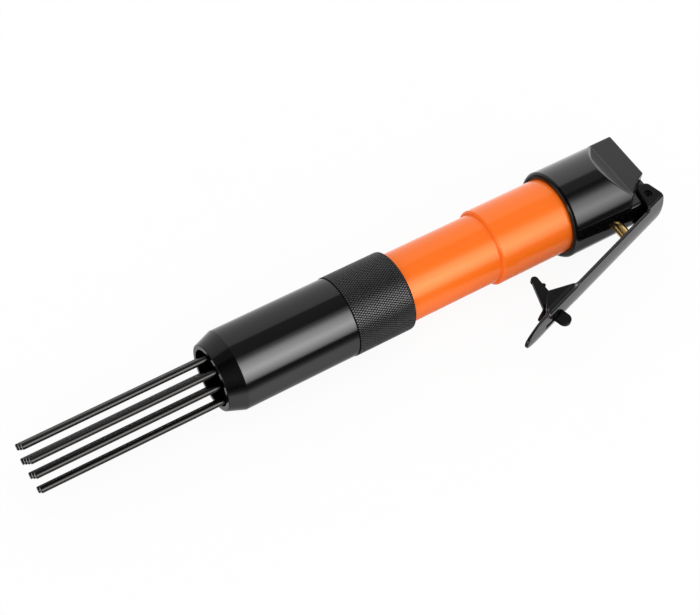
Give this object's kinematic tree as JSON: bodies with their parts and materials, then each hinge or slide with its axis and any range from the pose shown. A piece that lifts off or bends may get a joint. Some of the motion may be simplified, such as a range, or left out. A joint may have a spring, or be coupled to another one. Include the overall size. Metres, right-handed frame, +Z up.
{
  "type": "needle scaler",
  "caption": "In-line air needle scaler: a bundle of loose steel needles in a guard sleeve, hammer barrel, and head with throttle lever, safety latch and threaded air inlet.",
  "frame": {"origin": "Centre of the air inlet's mouth, on the rear face of the head.", "axes": "+X points out of the air inlet along the tool's axis, the needles point to -X, the lever is on the -Y side, +Z is up and parallel to the lever's pin."},
  "size_m": [0.3206, 0.0773, 0.0436],
  "materials": {
    "sleeve_black": "gloss black with a knurled band",
    "barrel_orange": "gloss orange enamel",
    "head_black": "gloss black",
    "needle_steel": "drawn steel, dark",
    "tool_steel": "ground",
    "spring_steel": "drawn wire",
    "bright_steel": "polished",
    "dark_steel": "blackened",
    "brass": "turned",
    "seal_rubber": "matt",
    "buffer_urethane": "satin",
    "lever_black": "gloss black powder coat",
    "latch_black": "satin black"
  },
  "bodies": {
    "body": {"sleeve": "sleeve_black", "barrel": "barrel_orange", "head": "head_black", "return_spring": "spring_steel", "buffer_ring": "buffer_urethane", "valve_cap": "tool_steel", "valve_body": "tool_steel", "head_seal": "seal_rubber", "inlet_screen": "spring_steel", "valve_spring": "spring_steel", "valve_plug": "tool_steel", "lever_pin": "dark_steel"},
    "carrier": {"needle_holder": "tool_steel"},
    "needle_01": {"needle_01": "needle_steel"},
    "needle_02": {"needle_02": "needle_steel"},
    "needle_03": {"needle_03": "needle_steel"},
    "needle_04": {"needle_04": "needle_steel"},
    "needle_05": {"needle_05": "needle_steel"},
    "needle_06": {"needle_06": "needle_steel"},
    "needle_07": {"needle_07": "needle_steel"},
    "needle_08": {"needle_08": "needle_steel"},
    "needle_09": {"needle_09": "needle_steel"},
    "needle_10": {"needle_10": "needle_steel"},
    "needle_11": {"needle_11": "needle_steel"},
    "needle_12": {"needle_12": "needle_steel"},
    "anvil": {"anvil": "tool_steel"},
    "piston": {"piston": "tool_steel"},
    "disc": {"valve_disc": "tool_steel"},
    "plunger": {"throttle_plunger": "brass", "valve_ball": "bright_steel"},
    "lever": {"lever": "lever_black", "latch_pin": "dark_steel", "latch_spring": "spring_steel"},
    "latch": {"latch": "latch_black"}
  },
  "joints": [
    {"name": "holder_slide", "type": "slide", "parent": "body", "child": "carrier", "axis": [-1, 0, 0], "range_m": [0, 0.005], "stiffness_N_per_m": 2500, "springref_m": -0.004, "deforming": ["return_spring"]},
    {"name": "needle_01_slide", "type": "slide", "parent": "carrier", "child": "needle_01", "axis": [1, 0, 0], "range_m": [0, 0.002]},
    {"name": "needle_02_slide", "type": "slide", "parent": "carrier", "child": "needle_02", "axis": [1, 0, 0], "range_m": [0, 0.002]},
    {"name": "needle_03_slide", "type": "slide", "parent": "carrier", "child": "needle_03", "axis": [1, 0, 0], "range_m": [0, 0.002]},
    {"name": "needle_04_slide", "type": "slide", "parent": "carrier", "child": "needle_04", "axis": [1, 0, 0], "range_m": [0, 0.002]},
    {"name": "needle_05_slide", "type": "slide", "parent": "carrier", "child": "needle_05", "axis": [1, 0, 0], "range_m": [0, 0.002]},
    {"name": "needle_06_slide", "type": "slide", "parent": "carrier", "child": "needle_06", "axis": [1, 0, 0], "range_m": [0, 0.002]},
    {"name": "needle_07_slide", "type": "slide", "parent": "carrier", "child": "needle_07", "axis": [1, 0, 0], "range_m": [0, 0.002]},
    {"name": "needle_08_slide", "type": "slide", "parent": "carrier", "child": "needle_08", "axis": [1, 0, 0], "range_m": [0, 0.002]},
    {"name": "needle_09_slide", "type": "slide", "parent": "carrier", "child": "needle_09", "axis": [1, 0, 0], "range_m": [0, 0.002]},
    {"name": "needle_10_slide", "type": "slide", "parent": "carrier", "child": "needle_10", "axis": [1, 0, 0], "range_m": [0, 0.002]},
    {"name": "needle_11_slide", "type": "slide", "parent": "carrier", "child": "needle_11", "axis": [1, 0, 0], "range_m": [0, 0.002]},
    {"name": "needle_12_slide", "type": "slide", "parent": "carrier", "child": "needle_12", "axis": [1, 0, 0], "range_m": [0, 0.002]},
    {"name": "anvil_slide", "type": "slide", "parent": "body", "child": "anvil", "axis": [-1, 0, 0], "range_m": [0, 0.002]},
    {"name": "piston_slide", "type": "slide", "parent": "body", "child": "piston", "axis": [-1, 0, 0], "range_m": [0, 0.018]},
    {"name": "disc_slide", "type": "slide", "parent": "body", "child": "disc", "axis": [1, 0, 0], "range_m": [0, 0.0006]},
    {"name": "lever_hinge", "type": "hinge", "parent": "body", "child": "lever", "pos_m": [-0.0037, -0.018, 0], "axis": [0, 0, -1], "range_deg": [0, 11], "stiffness_Nm_per_rad": 2, "springref_deg": -8.59},
    {"name": "plunger_slide", "type": "slide", "parent": "body", "child": "plunger", "axis": [0, 1, 0], "range_m": [0, 0.0039], "deforming": ["valve_spring"]},
    {"name": "latch_hinge", "type": "hinge", "parent": "lever", "child": "latch", "pos_m": [-0.0762, -0.04247, 0], "axis": [0, 0, -1], "range_deg": [0, 50], "deforming": ["latch_spring"]}
  ],
  "couplings": [
    {"joint": "plunger_slide", "follows": "lever_hinge", "m_per_rad": 0.01925},
    {"joint": "latch_hinge", "follows": "lever_hinge", "ratio": 4.5}
  ]
}
